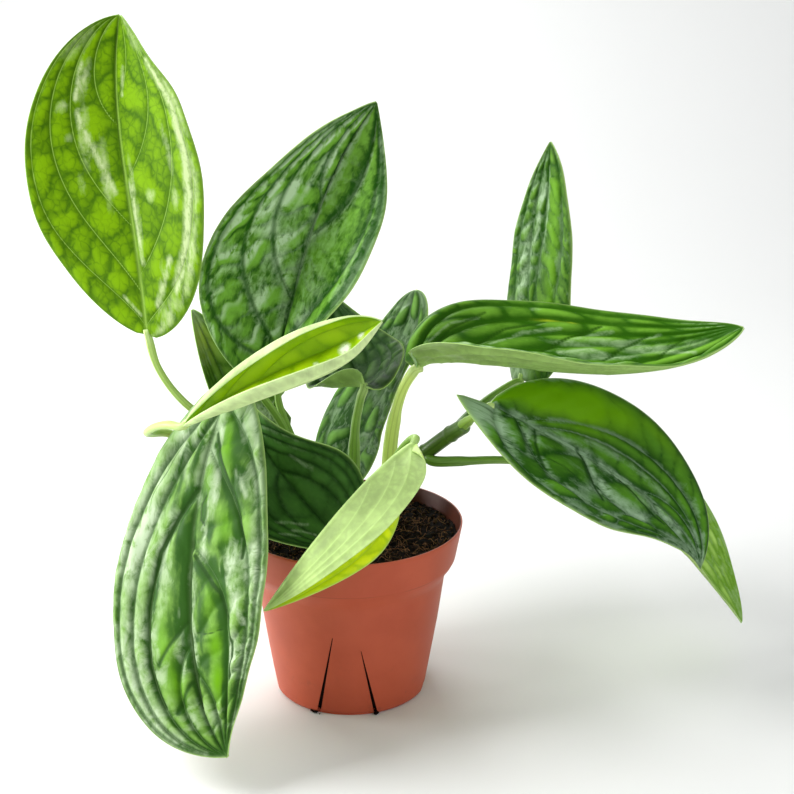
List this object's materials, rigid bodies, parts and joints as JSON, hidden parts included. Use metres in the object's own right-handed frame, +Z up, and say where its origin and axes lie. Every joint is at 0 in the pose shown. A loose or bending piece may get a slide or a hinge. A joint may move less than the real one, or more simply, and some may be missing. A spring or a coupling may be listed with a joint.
{
  "type": "potted monstera",
  "caption": "Small climbing monstera with quilted oval leaves on slender petioles and a short vine stem, standing in soil in a round slitted terracotta-coloured nursery pot",
  "frame": {"origin": "Centre of the flat underside of the pot, on the surface that it stands on.", "axes": "+Z up along the pot's axis; -Y towards the front of the picture; +X to the viewer's right, the way the plant spreads widest."},
  "size_m": [0.3776, 0.2067, 0.3553],
  "materials": {
    "pot": "thin terracotta-coloured plastic with a soft satin sheen",
    "soil": "dark moist peat and coir with brown fibres",
    "vine": "dark green living stem, slightly waxy",
    "stalk": "pale green living stalk, smooth and slightly waxy",
    "leaf_lit": "bright green living leaf with a darker net, satin",
    "leaf_dark": "dark green living leaf, satin",
    "leaf_silver": "dark green living leaf with a silvery sheen",
    "leaf_mid": "mid green living leaf, satin",
    "leaf_lime": "lime green young leaf with pale margins, glossy",
    "leaf_pale": "pale green leaf underside, matt"
  },
  "bodies": {
    "root": {"pot": "pot", "soil": "soil", "vine_stem": "vine", "petiole_upper_left": "stalk", "petiole_upper_centre": "stalk", "petiole_hanging_front": "stalk", "petiole_lime_young": "stalk", "petiole_pale_front": "stalk", "petiole_low_dark": "stalk", "petiole_twisted_back": "stalk", "petiole_centre_back": "stalk", "petiole_tall_back": "stalk", "petiole_right_wide": "stalk", "petiole_right_upright": "stalk", "petiole_right_lower": "stalk", "petiole_right_under": "stalk", "leaf_upper_left": "leaf_lit", "leaf_upper_centre": "leaf_dark", "leaf_hanging_front": "leaf_silver", "leaf_lime_young": "leaf_lime", "leaf_pale_front": "leaf_pale", "leaf_low_dark": "leaf_dark", "leaf_twisted_back": "leaf_dark", "leaf_centre_back": "leaf_dark", "leaf_tall_back": "leaf_silver", "leaf_right_wide": "leaf_dark", "leaf_right_upright": "leaf_silver", "leaf_right_lower": "leaf_dark", "leaf_right_under": "leaf_mid"}
  },
  "joints": []
}
